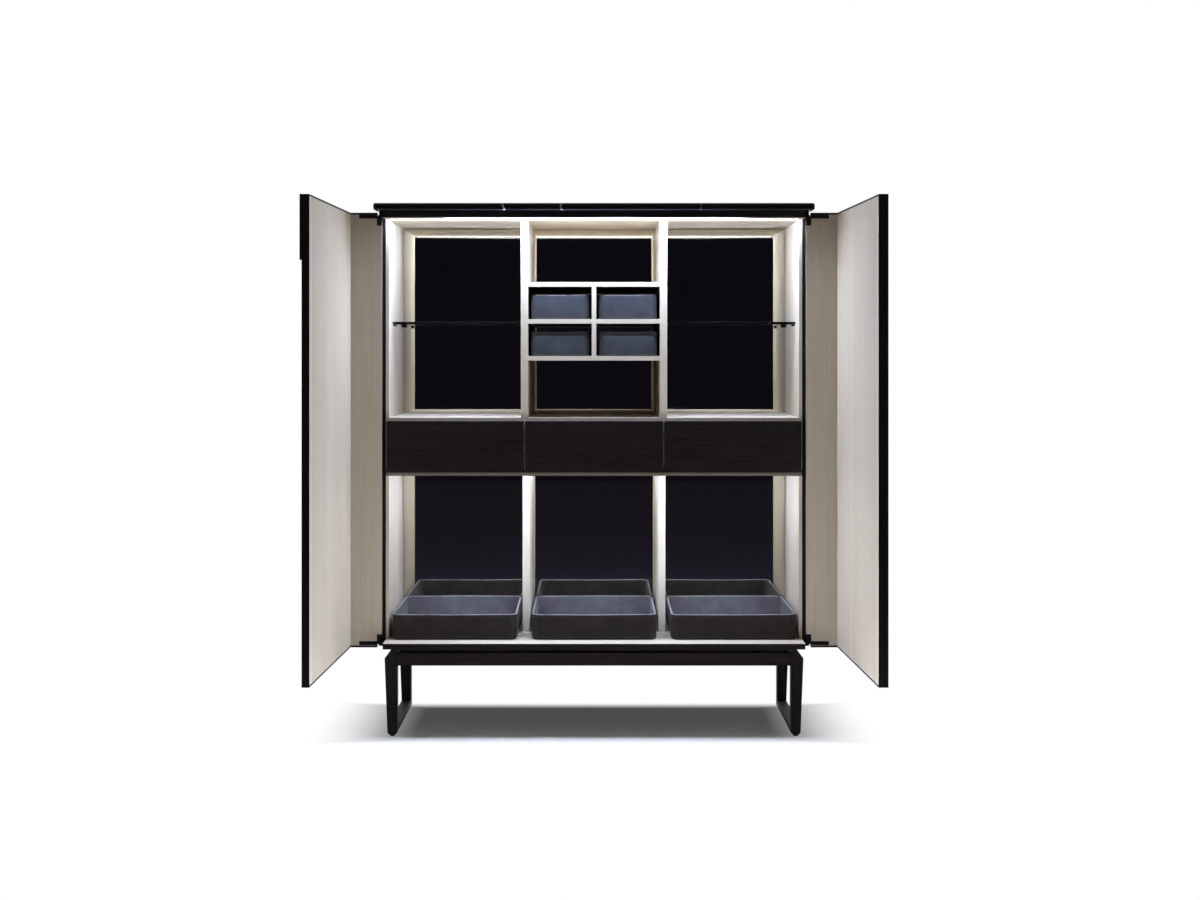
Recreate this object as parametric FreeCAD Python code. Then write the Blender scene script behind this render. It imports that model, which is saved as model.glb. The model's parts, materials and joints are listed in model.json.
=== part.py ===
import FreeCAD, Part
import os

os.makedirs("parts", exist_ok=True)

# A cabinet on a stand: two L-shaped doors, three drawers, pull-out leather trays and boxes.
# Millimetres. X runs to the right, Y to the back, Z up. The origin is on the floor, at the
# centre of the stand's footprint. The doors are modelled open, as they rest.

# Carcass
cabinet_width = 1244.0
carcass_depth = 380.0
front_zone_depth = 90.0
side_panel_thickness = 20.0
side_panel_drop = 5.0
lining_thickness = 9.0
top_panel_thickness = 20.0
bottom_panel_thickness = 16.0
deck_thickness = 16.0
divider_thickness = 21.0
lower_divider_setback = 125.0
back_board_thickness = 16.0
mirror_thickness = 4.0
lower_bay_height = 472.0
drawer_bay_height = 135.0
upper_bay_height = 572.0
lip_depth = 16.0
lip_height = 9.0

# Stone top
slab_thickness = 20.0
slab_side_overhang = 3.0
slab_front_overhang = 25.0
slab_back_overhang = 5.0
slab_edge_radius = 6.0

# Stand
stand_depth = 400.0
stand_setback = 8.0
stand_height = 236.0
leg_inset = 26.0
leg_top_width = 36.0
leg_foot_width = 28.0
leg_depth = 30.0
leg_shoulder_width = 20.0
leg_shoulder_height = 27.0
foot_chamfer = 8.0
rail_height = 36.0
rail_thickness = 25.0
rail_setback = 4.0
runner_height = 25.0
glide_thickness = 2.0
glide_length = 26.0
glide_width = 10.0
sub_frame_height = 12.0
sub_frame_board = 40.0
sub_frame_leg_gap = 4.0
sub_frame_setback = 14.0

# Doors, written for the closed door and then turned open about the pivot
door_thickness = 20.0
door_lining_thickness = 4.0
door_border = 5.5
door_edge_band = 2.0
door_face_gap = 2.0
door_top_gap = 1.0
door_meeting_gap = 3.0
door_side_gap = 1.5
return_rear_gap = 2.5
door_open_angle = 92.0
handle_length = 167.0
handle_width = 12.0
handle_proud = 5.0

# Pivot hinges
pivot_from_outside = 4.0
pivot_from_face = 10.5
hinge_pin_radius = 2.0
hinge_plate_thickness = 4.0
hinge_plate_half_width = 5.5
hinge_plate_reach = 48.0
hinge_plate_bottom_inset = 2.0
hinge_plate_top_inset = 7.0
hinge_block_height = 27.0
hinge_block_side_gap = 0.5
hinge_block_inner_gap = 1.5
hinge_block_rear_gap = 1.0
hinge_washer_gap = 0.4
hinge_notch_gap = 1.0
hinge_pin_engagement = 18.0
strap_length = 51.0
strap_height = 11.6
strap_thickness = 3.0
strap_drop = 5.0

# Drawers
drawer_front_thickness = 18.0
drawer_front_overlap = 6.5
drawer_front_gap = 4.0
drawer_end_gap = 2.0
drawer_board = 14.0
drawer_bottom_board = 8.0
drawer_bottom_raise = 8.0
drawer_floor_gap = 5.0
drawer_headroom = 12.0
drawer_back_gap = 24.0
drawer_side_gap = 1.0
slide_bar_height = 10.0
slide_bar_depth = 8.0
slide_bar_raise = 55.0
slide_bar_inset = 5.0

# Pigeonholes in the middle bay
cubby_board = 13.0
cubby_cell_height = 94.0
cubby_first_height = 165.5

# Leather trays and boxes
tray_side_gap = 10.5
tray_back_gap = 2.0
tray_height = 74.0
tray_corner_radius = 25.0
tray_wall = 6.0
tray_base_radius = 7.0
tray_front_reach = 24.0
box_side_gap = 9.0
box_back_gap = 50.0
box_headroom = 23.0
box_corner_radius = 14.0
box_wall = 5.0
box_base_radius = 5.0
box_setback = 10.0

# Glass shelves and their pins
glass_thickness = 8.0
glass_height = 271.0
glass_setback = 80.0
glass_side_gap = 1.0
glass_back_gap = 2.0
shelf_pin_radius = 2.5
shelf_pin_reach = 10.0
shelf_pin_depth = 7.0
shelf_pin_inset = 30.0

# Lighting
led_width = 10.0
led_height = 6.0
led_wall = 1.2
led_tape_thickness = 1.5
led_diffuser_thickness = 1.5
led_end_gap = 15.0
led_top_setback = 68.0
led_lip_setback = 3.0
driver_length = 180.0
driver_width = 52.0
driver_height = 22.0
driver_rear_gap = 30.0
driver_edge_radius = 3.0
inlet_radius = 6.0
inlet_flange_radius = 9.0
inlet_flange_thickness = 2.5
inlet_length = 16.0
inlet_bore_radius = 3.5

# Finish and clearances
edge_round = 1.0
slide_clearance = 0.3
pin_clearance = 0.05
overrun = 5.0
rim_share = 0.45
full_height_share = 0.9
base_edge_share = 0.05

# Places worked out from the sizes above
half_width = cabinet_width / 2
side_inner = half_width - side_panel_thickness
interior_half = side_inner - lining_thickness
bay_width = (2 * interior_half - 2 * divider_thickness) / 3
bay_pitch = bay_width + divider_thickness
divider_inner = bay_width / 2
divider_outer = divider_inner + divider_thickness
front_zone_half = half_width - door_thickness - door_side_gap
fronts_half = front_zone_half - drawer_end_gap

stand_half = stand_depth / 2
panel_front = -stand_half - stand_setback
face = panel_front + front_zone_depth
carcass_back = face + carcass_depth
board_front = carcass_back - back_board_thickness
mirror_front = board_front - mirror_thickness
drawer_box_depth = board_front - face - drawer_back_gap

floor_z = stand_height + sub_frame_height
lower_floor = floor_z + bottom_panel_thickness
lower_deck_z = lower_floor + lower_bay_height
drawer_floor = lower_deck_z + deck_thickness
upper_deck_z = drawer_floor + drawer_bay_height
upper_floor = upper_deck_z + deck_thickness
top_panel_z = upper_floor + upper_bay_height
slab_z = top_panel_z + top_panel_thickness

door_bottom = floor_z - side_panel_drop
door_top = slab_z - door_top_gap
door_inner = panel_front - door_face_gap
door_outer = door_inner - door_thickness
door_rear = face - return_rear_gap
return_inner = half_width - door_thickness
pivot_x = half_width - pivot_from_outside
pivot_y = face - pivot_from_face
notch_front = pivot_y - hinge_plate_half_width - hinge_notch_gap
bottom_plate = (floor_z + hinge_plate_bottom_inset,
                floor_z + hinge_plate_bottom_inset + hinge_plate_thickness)
top_plate = (slab_z - hinge_plate_top_inset - hinge_plate_thickness,
             slab_z - hinge_plate_top_inset)
glass_z = upper_floor + glass_height
leg_inner = half_width - leg_inset - leg_top_width
sub_frame_wide = leg_inner - sub_frame_leg_gap
sub_frame_deep = stand_half - sub_frame_setback
driver_back = sub_frame_deep - sub_frame_board - driver_rear_gap - inlet_length

led_half = front_zone_half - led_end_gap
top_led_front = panel_front + led_top_setback
lip_led_front = face - lip_depth + led_lip_setback
bay_levels = ((lower_floor, lower_deck_z), (drawer_floor, upper_deck_z), (upper_floor, top_panel_z))
bay_middles = (-bay_pitch, 0, bay_pitch)
cubby_floors = tuple(upper_floor + cubby_first_height + cubby_board
                     + level * (cubby_board + cubby_cell_height) for level in range(2))

up = FreeCAD.Vector(0, 0, 1)
back = FreeCAD.Vector(0, 1, 0)
right = FreeCAD.Vector(1, 0, 0)
centre = FreeCAD.Vector(0, 0, 0)


def board(x_span, y_span, z_span):
    """A rectangular board between the low and high value of each span."""
    corner = FreeCAD.Vector(x_span[0], y_span[0], z_span[0])
    return Part.makeBox(x_span[1] - x_span[0], y_span[1] - y_span[0], z_span[1] - z_span[0], corner)


def eased(shape, radius):
    """The shape with every edge rounded to the radius."""
    return shape.makeFillet(radius, shape.Edges)


def across(shape):
    """The shape on the other side of the cabinet's middle plane."""
    return shape.mirror(centre, right)


def both(shape):
    """The shape and its mirror image as one group of separate solids."""
    return Part.makeCompound([shape, across(shape)])


def save(name, shape):
    """Write one named piece."""
    shape.exportStep("parts/" + name + ".step")


def upright_edges(shape):
    """The edges that run the whole height of the shape."""
    tall = full_height_share * shape.BoundBox.ZLength
    return [edge for edge in shape.Edges if edge.BoundBox.ZLength > tall]


def base_edges(shape):
    """The edges that lie round the bottom of the shape."""
    level = shape.BoundBox.ZMin + base_edge_share * shape.BoundBox.ZLength
    return [edge for edge in shape.Edges if edge.BoundBox.ZMax < level]


def rim_edges(shape):
    """The edges that lie round the top of the shape."""
    level = shape.BoundBox.ZMax - base_edge_share * shape.BoundBox.ZLength
    return [edge for edge in shape.Edges if edge.BoundBox.ZMin > level]


def rounded_block(x_span, y_span, z_span, corner_radius, base_radius):
    """A block with rounded upright corners and a rounded bottom edge."""
    shape = board(x_span, y_span, z_span)
    shape = shape.makeFillet(corner_radius, upright_edges(shape))
    return shape.makeFillet(base_radius, base_edges(shape))


def leather_tray(x_span, y_span, z_span, corner_radius, wall, base_radius):
    """An open tray with rounded corners, a rounded base and a soft rim."""
    outside = rounded_block(x_span, y_span, z_span, corner_radius, base_radius)
    hollow = rounded_block((x_span[0] + wall, x_span[1] - wall),
                           (y_span[0] + wall, y_span[1] - wall),
                           (z_span[0] + wall, z_span[1] + overrun),
                           corner_radius - wall, base_radius)
    shell = outside.cut(hollow)
    return shell.makeFillet(rim_share * wall, rim_edges(shell))


def hinge_plate(z_span):
    """The fixed plate of a right-hand pivot hinge, round about its pin hole."""
    z_low, z_high = z_span
    thickness = z_high - z_low
    arm = board((pivot_x - hinge_plate_reach, pivot_x),
                (pivot_y - hinge_plate_half_width, pivot_y + hinge_plate_half_width), z_span)
    pin_place = FreeCAD.Vector(pivot_x, pivot_y, z_low)
    end = Part.makeCylinder(hinge_plate_half_width, thickness, pin_place, up)
    hole = Part.makeCylinder(hinge_pin_radius, thickness, pin_place, up)
    return arm.fuse(end).removeSplitter().cut(hole)


def hinge_mortise(z_span):
    """The slot in a panel's end that takes a fixed hinge plate."""
    return board((pivot_x - hinge_plate_reach, pivot_x),
                 (pivot_y - hinge_plate_half_width, pivot_y + hinge_plate_half_width), z_span)


def hinge_pin(z_span):
    """A plain pin on the pivot axis."""
    return Part.makeCylinder(hinge_pin_radius, z_span[1] - z_span[0],
                             FreeCAD.Vector(pivot_x, pivot_y, z_span[0]), up)


def make_top():
    """The stone slab and the panel under it, with its light groove and hinge mortises."""
    slab = board((-half_width - slab_side_overhang, half_width + slab_side_overhang),
                 (panel_front - slab_front_overhang, carcass_back + slab_back_overhang),
                 (slab_z, slab_z + slab_thickness))
    save("marble_top", eased(slab, slab_edge_radius))
    front = board((-front_zone_half, front_zone_half), (panel_front, face), (top_panel_z, slab_z))
    rear = board((-side_inner, side_inner), (face, carcass_back), (top_panel_z, slab_z))
    panel = front.fuse(rear).removeSplitter()
    panel = panel.cut(both(hinge_mortise(top_plate)))
    save("top_panel", panel.cut(led_groove(top_led_front, top_panel_z)))


def make_carcass():
    """Bottom panel, sides, linings, back board and mirrors."""
    front = board((-front_zone_half, front_zone_half), (panel_front, face), (floor_z, lower_floor))
    rear = board((-side_inner, side_inner), (face, carcass_back), (floor_z, lower_floor))
    panel = front.fuse(rear).removeSplitter()
    save("bottom_panel", panel.cut(both(hinge_mortise(bottom_plate))))
    side = board((side_inner, half_width), (face, carcass_back), (door_bottom, slab_z))
    save("right_side_panel", side)
    save("left_side_panel", across(side))
    pins = Part.makeCompound(shelf_pin_row(interior_half, 1))
    linings = []
    for z_span in bay_levels:
        lining = board((interior_half, side_inner), (face, mirror_front), z_span)
        linings.append(lining.cut(pins))
    lining_set = Part.makeCompound(linings)
    save("right_side_lining", lining_set)
    save("left_side_lining", across(lining_set))
    save("back_board", board((-side_inner, side_inner), (board_front, carcass_back),
                             (lower_floor, top_panel_z)))
    save("upper_mirror", board((-side_inner, side_inner), (mirror_front, board_front),
                               (upper_floor, top_panel_z)))
    save("lower_mirror", board((-side_inner, side_inner), (mirror_front, board_front),
                               (lower_floor, lower_deck_z)))


def make_interior():
    """Decks, dividers, pigeonholes, glass shelves and their pins."""
    save("upper_deck", board((-side_inner, side_inner), (face, board_front),
                             (upper_deck_z, upper_floor)))
    deck = board((-side_inner, side_inner), (face, board_front), (lower_deck_z, drawer_floor))
    lip = board((-fronts_half, fronts_half), (face - lip_depth, face),
                (lower_deck_z, lower_deck_z + lip_height))
    deck = deck.fuse(lip).removeSplitter()
    save("lower_deck", deck.cut(led_groove(lip_led_front, lower_deck_z)))
    fronts = {"lower_dividers": face + lower_divider_setback, "drawer_partitions": face,
              "upper_dividers": face}
    pins = Part.makeCompound(shelf_pin_row(divider_outer, -1))
    for (name, front), z_span in zip(fronts.items(), bay_levels):
        upright = board((divider_inner, divider_outer), (front, mirror_front), z_span)
        save(name, both(upright.cut(pins)))
    shelves = []
    uprights = []
    cell_floor = upper_floor + cubby_first_height
    for count in range(3):
        shelf_z = cell_floor + count * (cubby_board + cubby_cell_height)
        shelves.append(board((-divider_inner, divider_inner), (face, mirror_front),
                             (shelf_z, shelf_z + cubby_board)))
    for shelf_z in cubby_floors:
        uprights.append(board((-cubby_board / 2, cubby_board / 2), (face, mirror_front),
                              (shelf_z, shelf_z + cubby_cell_height)))
    save("cubby_shelves", Part.makeCompound(shelves))
    save("cubby_uprights", Part.makeCompound(uprights))
    glass = board((divider_outer + glass_side_gap, interior_half - glass_side_gap),
                  (face + glass_setback, mirror_front - glass_back_gap),
                  (glass_z, glass_z + glass_thickness))
    save("glass_shelves", both(eased(glass, edge_round)))
    pin_set = shelf_pin_row(interior_half, 1, pin_clearance)
    pin_set = pin_set + shelf_pin_row(divider_outer, -1, pin_clearance)
    save("shelf_pins", both(Part.makeCompound(pin_set)))


def shelf_pin_row(wall_x, outward, clearance=0):
    """Two pins that stand out of a bay wall under a glass shelf, or their holes at no clearance."""
    radius = shelf_pin_radius - clearance
    start = wall_x - outward * shelf_pin_reach
    direction = FreeCAD.Vector(outward, 0, 0)
    pin_z = glass_z - shelf_pin_radius
    rows = (face + glass_setback + shelf_pin_inset, mirror_front - glass_back_gap - shelf_pin_inset)
    return [Part.makeCylinder(radius, shelf_pin_reach + shelf_pin_depth,
                              FreeCAD.Vector(start, row, pin_z), direction) for row in rows]


def led_groove(front_y, ceiling_z):
    """The groove that takes a light profile in the underside of a panel."""
    return board((-led_half, led_half), (front_y, front_y + led_width),
                 (ceiling_z, ceiling_z + led_height))


def make_lighting():
    """Two light profiles with tape and diffuser, the driver and its cable inlet."""
    profiles = []
    tapes = []
    diffusers = []
    for front_y, ceiling_z in ((top_led_front, top_panel_z), (lip_led_front, lower_deck_z)):
        inside = (front_y + led_wall, front_y + led_width - led_wall)
        roof = ceiling_z + led_height - led_wall
        channel = board((-led_half - overrun, led_half + overrun), inside, (ceiling_z, roof))
        profiles.append(led_groove(front_y, ceiling_z).cut(channel))
        tapes.append(board((-led_half, led_half), inside, (roof - led_tape_thickness, roof)))
        diffusers.append(board((-led_half, led_half), inside,
                               (ceiling_z, ceiling_z + led_diffuser_thickness)))
    save("led_profiles", Part.makeCompound(profiles))
    save("led_tapes", Part.makeCompound(tapes))
    save("led_diffusers", Part.makeCompound(diffusers))
    driver = board((-driver_length / 2, driver_length / 2),
                   (driver_back - driver_width, driver_back),
                   (floor_z - driver_height, floor_z))
    driver = driver.makeFillet(driver_edge_radius, upright_edges(driver))
    save("led_driver", driver)
    inlet_start = FreeCAD.Vector(0, driver_back, floor_z - driver_height / 2)
    flange = Part.makeCylinder(inlet_flange_radius, inlet_flange_thickness, inlet_start, back)
    neck = Part.makeCylinder(inlet_radius, inlet_length, inlet_start, back)
    bore = Part.makeCylinder(inlet_bore_radius, inlet_length, inlet_start, back)
    save("cable_inlet", flange.fuse(neck).removeSplitter().cut(bore))


def make_stand():
    """Legs, floor runners, rails, sub-frame and glides."""
    outer_top = half_width - leg_inset
    inner = leg_inner
    outer_foot = inner + leg_foot_width
    outline = ((inner, glide_thickness + foot_chamfer),
               (inner + foot_chamfer, glide_thickness),
               (outer_foot - foot_chamfer, glide_thickness),
               (outer_foot, glide_thickness + foot_chamfer),
               (outer_top, floor_z - leg_shoulder_height),
               (outer_top - leg_shoulder_width, floor_z),
               (inner, floor_z))
    points = [FreeCAD.Vector(x, -stand_half, z) for x, z in outline]
    face_of_leg = Part.Face(Part.makePolygon(points + points[:1]))
    front_leg = eased(face_of_leg.extrude(back * leg_depth), edge_round)
    rear_leg = front_leg.copy()
    rear_leg.translate(back * (stand_depth - leg_depth))
    save("front_legs", both(front_leg))
    save("rear_legs", both(rear_leg))
    between = (leg_depth - stand_half, stand_half - leg_depth)
    runner_outline = ((inner, glide_thickness + foot_chamfer),
                      (inner + foot_chamfer, glide_thickness),
                      (outer_foot - foot_chamfer, glide_thickness),
                      (outer_foot, glide_thickness + foot_chamfer),
                      (outer_foot, glide_thickness + runner_height),
                      (inner, glide_thickness + runner_height))
    points = [FreeCAD.Vector(x, between[0], z) for x, z in runner_outline]
    face_of_runner = Part.Face(Part.makePolygon(points + points[:1]))
    save("floor_runners", both(face_of_runner.extrude(back * (between[1] - between[0]))))
    rail_z = (stand_height - rail_height, stand_height)
    save("side_rails", both(board((inner, inner + rail_thickness), between, rail_z)))
    front_rail_y = (rail_setback - stand_half, rail_setback + rail_thickness - stand_half)
    rear_rail_y = (-front_rail_y[1], -front_rail_y[0])
    save("front_rail", board((-inner, inner), front_rail_y, rail_z))
    save("rear_rail", board((-inner, inner), rear_rail_y, rail_z))
    make_sub_frame()
    glides = []
    middle = inner + leg_foot_width / 2
    for end in (-stand_half + leg_depth / 2, stand_half - leg_depth / 2):
        glides.append(board((middle - glide_width / 2, middle + glide_width / 2),
                            (end - glide_length / 2, end + glide_length / 2), (0, glide_thickness)))
    save("foot_glides", both(Part.makeCompound(glides)))


def make_sub_frame():
    """The recessed frame of four boards between the rails and the bottom panel, inside the legs."""
    wide = sub_frame_wide
    deep = sub_frame_deep
    z_span = (stand_height, floor_z)
    long_board = board((-wide, wide), (-deep, sub_frame_board - deep), z_span)
    far_board = board((-wide, wide), (deep - sub_frame_board, deep), z_span)
    end_board = board((wide - sub_frame_board, wide),
                      (sub_frame_board - deep, deep - sub_frame_board), z_span)
    save("sub_frame", Part.makeCompound([long_board, far_board, end_board, across(end_board)]))


def make_fixed_hinges():
    """The four fixed plates and the pins that stand in them."""
    plates = [hinge_plate(bottom_plate), hinge_plate(top_plate)]
    low_pin = hinge_pin((bottom_plate[0], bottom_plate[1] + hinge_pin_engagement))
    high_pin = hinge_pin((top_plate[0] - hinge_pin_engagement, top_plate[1]))
    save("hinge_plates", both(Part.makeCompound(plates)))
    save("hinge_pins", both(Part.makeCompound([low_pin, high_pin])))


def hinge_leaf(z_span, strap_z):
    """The door's half of a hinge: a block round the pin and a strap let into the return."""
    block = board((return_inner + hinge_block_inner_gap, half_width - hinge_block_side_gap),
                  (notch_front, door_rear - hinge_block_rear_gap), z_span)
    strap = hinge_strap(strap_z)
    hole = Part.makeCylinder(hinge_pin_radius + pin_clearance, z_span[1] - z_span[0],
                             FreeCAD.Vector(pivot_x, pivot_y, z_span[0]), up)
    return block.fuse(strap).removeSplitter().cut(hole)


def hinge_strap(strap_z):
    """The strap of a hinge leaf, flush with the inside of the return."""
    return board((return_inner, return_inner + strap_thickness),
                 (notch_front - strap_length, notch_front), strap_z)


def make_door():
    """The pieces of the right-hand door, closed, by name."""
    free_edge = door_meeting_gap / 2
    z_span = (door_bottom, door_top)
    lining_z = (door_bottom + door_border, door_top - door_border)
    low_leaf_z = (bottom_plate[1] + hinge_washer_gap, bottom_plate[1] + hinge_block_height)
    high_leaf_z = (top_plate[0] - hinge_block_height, top_plate[0] - hinge_washer_gap)
    low_strap_z = (low_leaf_z[0] - strap_drop, low_leaf_z[0] - strap_drop + strap_height)
    high_strap_z = (high_leaf_z[1] + strap_drop - strap_height, high_leaf_z[1] + strap_drop)
    low_notch = board((return_inner, half_width), (notch_front, door_rear),
                      (door_bottom, low_leaf_z[1]))
    high_notch = board((return_inner, half_width), (notch_front, door_rear),
                       (high_leaf_z[0], door_top))
    fittings = Part.makeCompound([low_notch, high_notch, hinge_strap(low_strap_z),
                                  hinge_strap(high_strap_z)])
    front_lining = board((free_edge + door_edge_band, return_inner),
                         (door_inner - door_lining_thickness, door_inner), lining_z)
    front = eased(board((free_edge, half_width), (door_outer, door_inner), z_span), edge_round)
    return_lining = board((return_inner, return_inner + door_lining_thickness),
                          (door_inner, door_rear), lining_z)
    side = board((return_inner, half_width), (door_inner, door_rear), z_span)
    handle_z = (door_top - handle_length, door_top)
    handle = board((free_edge, free_edge + handle_width), (door_outer - handle_proud, door_outer),
                   handle_z)
    full_strip = board((free_edge, free_edge + handle_width),
                       (door_outer - handle_proud, door_outer), z_span)
    leaves = [hinge_leaf(low_leaf_z, low_strap_z), hinge_leaf(high_leaf_z, high_strap_z)]
    return {"door_front": front.cut(front_lining),
            "door_return": side.cut(return_lining).cut(fittings),
            "door_lining": front_lining,
            "door_return_lining": return_lining.cut(fittings),
            "door_handle": handle,
            "door_pull_strip": full_strip,
            "door_hinge_leaves": Part.makeCompound(leaves)}


def make_doors():
    """Both doors, turned open; the left one has the short handle, the right one the long strip."""
    pivot = FreeCAD.Vector(pivot_x, pivot_y, 0)
    for name, shape in make_door().items():
        opened = shape.copy()
        opened.rotate(pivot, up, door_open_angle)
        if name != "door_handle":
            save("right_" + name, opened)
        if name != "door_pull_strip":
            save("left_" + name, across(opened))


def drawer_boards(middle_x):
    """The boards of one drawer box: two grooved sides, a back and a bottom."""
    wall = bay_width / 2 - drawer_side_gap
    z_span = (drawer_floor + drawer_floor_gap, upper_deck_z - drawer_headroom)
    y_span = (face, face + drawer_box_depth)
    groove = board((bay_width / 2 - slide_bar_depth - slide_clearance, bay_width / 2),
                   (y_span[0], y_span[1] + overrun),
                   (drawer_floor + slide_bar_raise - slide_clearance,
                    drawer_floor + slide_bar_raise + slide_bar_height + slide_clearance))
    side = board((wall - drawer_board, wall), y_span, z_span).cut(groove)
    inner = (drawer_board - wall, wall - drawer_board)
    rear = board(inner, (y_span[1] - drawer_board, y_span[1]), z_span)
    bottom_z = z_span[0] + drawer_bottom_raise
    bottom = board(inner, (y_span[0], y_span[1] - drawer_board),
                   (bottom_z, bottom_z + drawer_bottom_board))
    boards = Part.makeCompound([side, across(side), rear, bottom])
    boards.translate(right * middle_x)
    return boards


def make_drawers():
    """Three drawers with overlay fronts, and the slide bars that carry them."""
    seam = divider_inner + divider_thickness / 2
    spans = {"left": (-fronts_half, -seam - drawer_front_gap / 2),
             "middle": (drawer_front_gap / 2 - seam, seam - drawer_front_gap / 2),
             "right": (seam + drawer_front_gap / 2, fronts_half)}
    z_span = (drawer_floor - drawer_front_overlap, upper_deck_z + drawer_front_overlap)
    bars = []
    for (name, x_span), middle_x in zip(spans.items(), bay_middles):
        front = board(x_span, (face - drawer_front_thickness, face), z_span)
        save(name + "_drawer_front", eased(front, edge_round))
        save(name + "_drawer_box", drawer_boards(middle_x))
        bar = board((bay_width / 2 - slide_bar_depth, bay_width / 2),
                    (face + slide_bar_inset, face + drawer_box_depth),
                    (drawer_floor + slide_bar_raise,
                     drawer_floor + slide_bar_raise + slide_bar_height))
        bar_pair = both(bar)
        bar_pair.translate(right * middle_x)
        bars.append(bar_pair)
    save("drawer_slide_bars", Part.makeCompound(bars))


def make_trays():
    """One leather tray in each lower bay and four boxes in the pigeonholes."""
    y_span = (face - tray_front_reach, mirror_front - tray_back_gap)
    half_tray = bay_width / 2 - tray_side_gap
    tray_z = (lower_floor + slide_clearance, lower_floor + slide_clearance + tray_height)
    for name, middle_x in zip(("left", "middle", "right"), bay_middles):
        x_span = (middle_x - half_tray, middle_x + half_tray)
        save(name + "_tray", leather_tray(x_span, y_span, tray_z, tray_corner_radius, tray_wall,
                                          tray_base_radius))
    x_span = (cubby_board / 2 + box_side_gap, divider_inner - box_side_gap)
    y_span = (face + box_setback, mirror_front - box_back_gap)
    for level, cell_floor in zip(("lower", "upper"), cubby_floors):
        box_z = (cell_floor + slide_clearance, cell_floor + cubby_cell_height - box_headroom)
        box = leather_tray(x_span, y_span, box_z, box_corner_radius, box_wall, box_base_radius)
        save(level + "_right_box", box)
        save(level + "_left_box", across(box))


make_top()
make_carcass()
make_interior()
make_lighting()
make_stand()
make_fixed_hinges()
make_doors()
make_drawers()
make_trays()
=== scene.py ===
"""Finishes for the cabinet on stand: woods, stone, mirrors, leather trays and boxes, and light lines."""
import json
import logging
import math
from dataclasses import asdict, dataclass, field
from enum import Enum

import bmesh
import bpy
import numpy as np
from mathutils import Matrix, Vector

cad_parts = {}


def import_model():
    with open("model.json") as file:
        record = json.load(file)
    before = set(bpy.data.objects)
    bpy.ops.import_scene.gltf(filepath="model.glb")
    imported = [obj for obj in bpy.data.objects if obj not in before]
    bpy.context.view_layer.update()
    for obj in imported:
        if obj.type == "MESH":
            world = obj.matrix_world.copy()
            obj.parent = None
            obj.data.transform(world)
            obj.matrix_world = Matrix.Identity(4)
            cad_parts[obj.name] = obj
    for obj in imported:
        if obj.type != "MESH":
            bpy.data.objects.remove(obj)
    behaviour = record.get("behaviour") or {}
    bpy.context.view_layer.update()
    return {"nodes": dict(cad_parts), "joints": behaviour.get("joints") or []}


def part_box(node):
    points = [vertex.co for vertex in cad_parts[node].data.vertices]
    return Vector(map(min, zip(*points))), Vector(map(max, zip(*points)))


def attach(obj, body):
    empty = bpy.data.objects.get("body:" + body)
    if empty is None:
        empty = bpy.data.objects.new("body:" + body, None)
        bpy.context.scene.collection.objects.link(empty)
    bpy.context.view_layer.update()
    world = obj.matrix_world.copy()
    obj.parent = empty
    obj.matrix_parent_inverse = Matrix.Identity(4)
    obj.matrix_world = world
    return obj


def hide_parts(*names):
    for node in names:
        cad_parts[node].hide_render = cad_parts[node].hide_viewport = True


LOG = logging.getLogger("cabinet")

Colour = tuple[float, float, float]
Point = tuple[float, float, float]
Span = tuple[float, float]
Socket = bpy.types.NodeSocket
Value = Socket | float | tuple[float, ...]


class Grain(Enum):
    """The axis that a board's grain runs along, as the stretch of its pattern."""

    ALONG_X = (0.035, 1.0, 1.0)
    ALONG_Y = (1.0, 0.035, 1.0)
    ALONG_Z = (1.0, 1.0, 0.035)


class Side(Enum):
    """A side of the cabinet, as the sign of X."""

    LEFT = -1
    RIGHT = 1


class Face(Enum):
    """The face of a panel that carries another veneer, as the axis and the sign of its normal."""

    TOP = ("Z", 1)
    UNDERSIDE = ("Z", -1)
    FRONT = ("Y", -1)


@dataclass(frozen=True)
class Noise:
    """A noise pattern: features per metre, octaves, strength of the finer octaves, and bend."""

    scale: float
    detail: float = 3.0
    roughness: float = 0.55
    distortion: float = 0.0


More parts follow.
